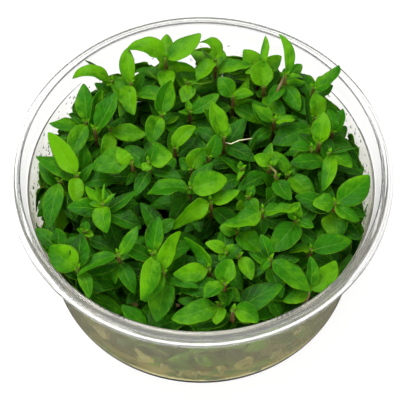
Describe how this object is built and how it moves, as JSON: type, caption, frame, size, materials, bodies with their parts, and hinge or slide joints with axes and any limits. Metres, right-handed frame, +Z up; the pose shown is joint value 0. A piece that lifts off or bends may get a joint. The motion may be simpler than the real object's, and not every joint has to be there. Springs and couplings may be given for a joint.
{
  "type": "tissue culture cup of staurogyne repens plantlets",
  "caption": "Open round clear plastic culture cup with a gel layer and a dense stand of young opposite-leaved aquarium plantlets.",
  "frame": {"origin": "centre of the underside of the cup, on the surface that it stands on", "axes": "+Z up along the cup's axis, -Y towards the side that the picture was taken from"},
  "size_m": [0.11, 0.11, 0.054],
  "materials": {
    "clear_plastic": "clear, thin, smooth polypropylene with condensation",
    "culture_gel": "soft, cloudy, slightly glossy agar gel",
    "leaf_green": "satin live leaf, yellow-green above, darker below"
  },
  "bodies": {
    "root": {"cup": "clear_plastic", "gel": "culture_gel", "plantlet_01": "leaf_green", "plantlet_02": "leaf_green", "plantlet_03": "leaf_green", "plantlet_04": "leaf_green", "plantlet_05": "leaf_green", "plantlet_06": "leaf_green", "plantlet_07": "leaf_green", "plantlet_08": "leaf_green", "plantlet_09": "leaf_green", "plantlet_10": "leaf_green", "plantlet_11": "leaf_green", "plantlet_12": "leaf_green", "plantlet_13": "leaf_green", "plantlet_14": "leaf_green", "plantlet_15": "leaf_green", "plantlet_16": "leaf_green", "plantlet_17": "leaf_green", "plantlet_18": "leaf_green", "plantlet_19": "leaf_green", "plantlet_20": "leaf_green", "plantlet_21": "leaf_green", "plantlet_22": "leaf_green", "plantlet_23": "leaf_green", "plantlet_24": "leaf_green", "plantlet_25": "leaf_green", "plantlet_26": "leaf_green", "plantlet_27": "leaf_green", "plantlet_28": "leaf_green", "plantlet_29": "leaf_green", "plantlet_30": "leaf_green", "plantlet_31": "leaf_green", "plantlet_32": "leaf_green", "plantlet_33": "leaf_green", "plantlet_34": "leaf_green", "plantlet_35": "leaf_green", "plantlet_36": "leaf_green", "plantlet_37": "leaf_green", "plantlet_38": "leaf_green", "plantlet_39": "leaf_green", "plantlet_40": "leaf_green", "plantlet_41": "leaf_green", "plantlet_42": "leaf_green", "plantlet_43": "leaf_green", "plantlet_44": "leaf_green", "plantlet_45": "leaf_green", "plantlet_46": "leaf_green", "plantlet_47": "leaf_green", "plantlet_48": "leaf_green", "plantlet_49": "leaf_green", "plantlet_50": "leaf_green", "plantlet_51": "leaf_green", "plantlet_52": "leaf_green", "plantlet_53": "leaf_green", "plantlet_54": "leaf_green", "plantlet_55": "leaf_green", "plantlet_56": "leaf_green", "plantlet_57": "leaf_green"}
  },
  "joints": []
}
